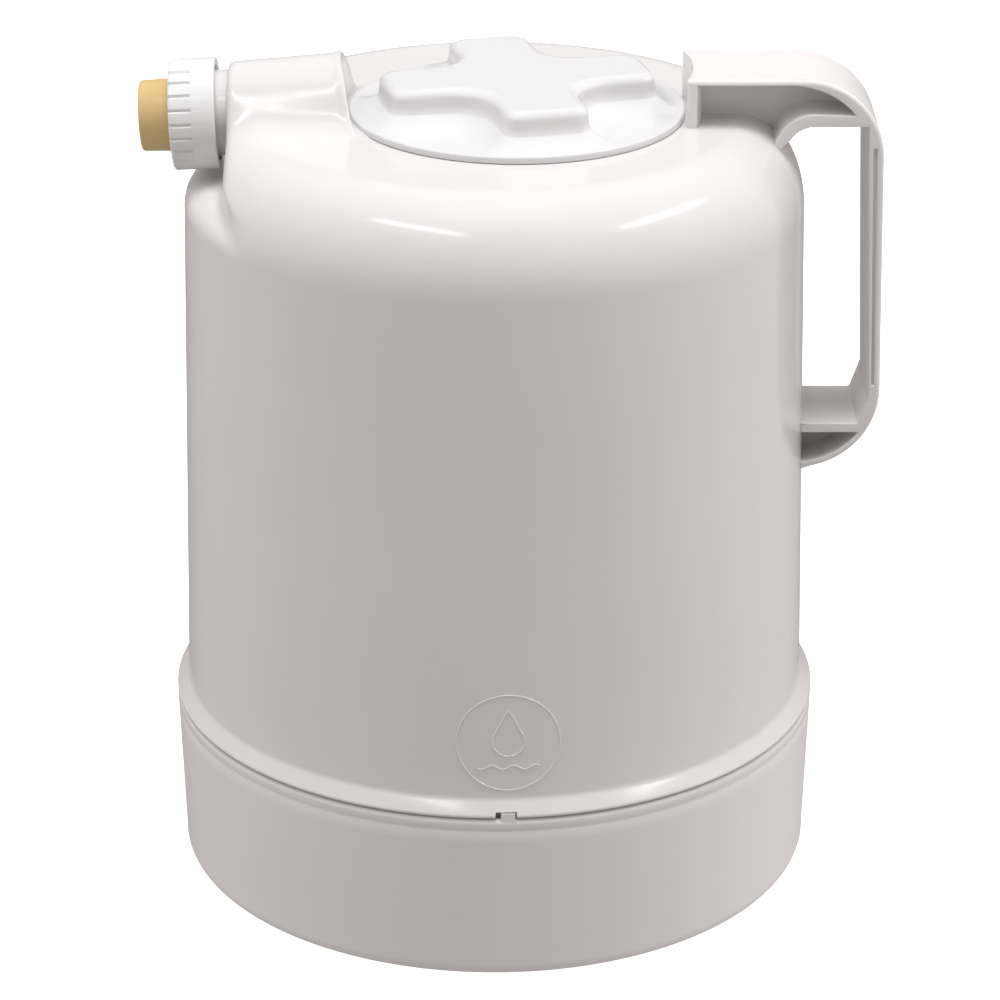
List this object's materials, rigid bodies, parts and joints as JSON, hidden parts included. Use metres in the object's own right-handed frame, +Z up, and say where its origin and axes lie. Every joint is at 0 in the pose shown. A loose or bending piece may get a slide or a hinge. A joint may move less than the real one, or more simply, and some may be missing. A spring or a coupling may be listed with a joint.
{
  "type": "detergent dispenser bottle",
  "caption": "Round white dispensing vessel with loop handle, screw-in filler cap with cross knob, side outlet closed by a union nut and rubber bung, and a base cup.",
  "frame": {"origin": "on the tank's vertical axis, at the flat underside of the base cup", "axes": "+Z up along the tank's axis, +X towards the handle, -X towards the outlet, -Y towards the front"},
  "size_m": [0.2432, 0.218, 0.281],
  "materials": {
    "body_white": "smooth glossy moulded white",
    "handle_white": "smooth glossy moulded white",
    "cup_white": "satin gloss moulded white",
    "cap_white": "smooth glossy moulded white",
    "plug_white": "plain moulded natural plastic",
    "nut_white": "smooth glossy moulded white",
    "tan_rubber": "matt gum rubber",
    "seal_rubber": "matt black rubber",
    "red_silicone": "matt silicone",
    "floor_plastic": "moulded plastic",
    "zinc_steel": "zinc plated",
    "spring_steel": "bright drawn wire",
    "element_steel": "dull sheathed tube",
    "brass": "turned brass",
    "phenolic": "moulded phenolic",
    "block_nylon": "moulded nylon",
    "gland_nylon": "moulded nylon",
    "brown_sleeve": "wire sleeve",
    "blue_sleeve": "wire sleeve",
    "green_yellow_sleeve": "wire sleeve"
  },
  "bodies": {
    "vessel": {"tank_shell": "body_white", "handle": "handle_white", "base_cup": "cup_white", "floor_seal": "seal_rubber", "element_washers": "red_silicone", "tank_floor": "floor_plastic", "floor_screws": "zinc_steel", "base_screws": "zinc_steel", "heater_element": "element_steel", "element_clip": "zinc_steel", "element_nuts": "brass", "earth_stud": "brass", "thermostat": "phenolic", "thermal_cutout": "phenolic", "terminal_block": "block_nylon", "terminal_screws": "brass", "cable_gland": "gland_nylon", "gland_nut": "gland_nylon", "lead_live": "brown_sleeve", "lead_link": "brown_sleeve", "lead_element": "brown_sleeve", "lead_neutral": "blue_sleeve", "lead_earth": "green_yellow_sleeve"},
    "cap_seal": {"cap_gasket": "seal_rubber"},
    "cap": {"cap_knob": "cap_white", "cap_plug": "plug_white", "relief_cage": "zinc_steel", "relief_spring": "spring_steel"},
    "relief": {"relief_disc": "red_silicone"},
    "bung": {"outlet_bung": "tan_rubber", "outlet_washer": "seal_rubber"},
    "nut": {"union_nut": "nut_white"}
  },
  "joints": [
    {"name": "cap_lift", "type": "slide", "parent": "vessel", "child": "cap_seal", "axis": [0, 0, 1], "range_m": [0, 0.016]},
    {"name": "cap_turn", "type": "hinge", "parent": "cap_seal", "child": "cap", "pos_m": [0.0074, 0, 0.26], "axis": [0, 0, 1], "range_deg": [0, 360]},
    {"name": "relief_lift", "type": "slide", "parent": "cap", "child": "relief", "axis": [0, 0, 1], "range_m": [0, 0.0025], "stiffness_N_per_m": 400, "springref_m": -0.001, "deforming": ["relief_spring"]},
    {"name": "bung_slide", "type": "slide", "parent": "vessel", "child": "bung", "axis": [-0.9991, 0, -0.0419], "range_m": [0, 0.008]},
    {"name": "nut_turn", "type": "hinge", "parent": "bung", "child": "nut", "pos_m": [-0.0865, 0, 0.261], "axis": [-0.9991, 0, -0.0419], "range_deg": [0, 360]}
  ],
  "couplings": [
    {"joint": "cap_lift", "follows": "cap_turn", "m_per_rad": 0.0025464},
    {"joint": "bung_slide", "follows": "nut_turn", "m_per_rad": 0.0012732}
  ]
}
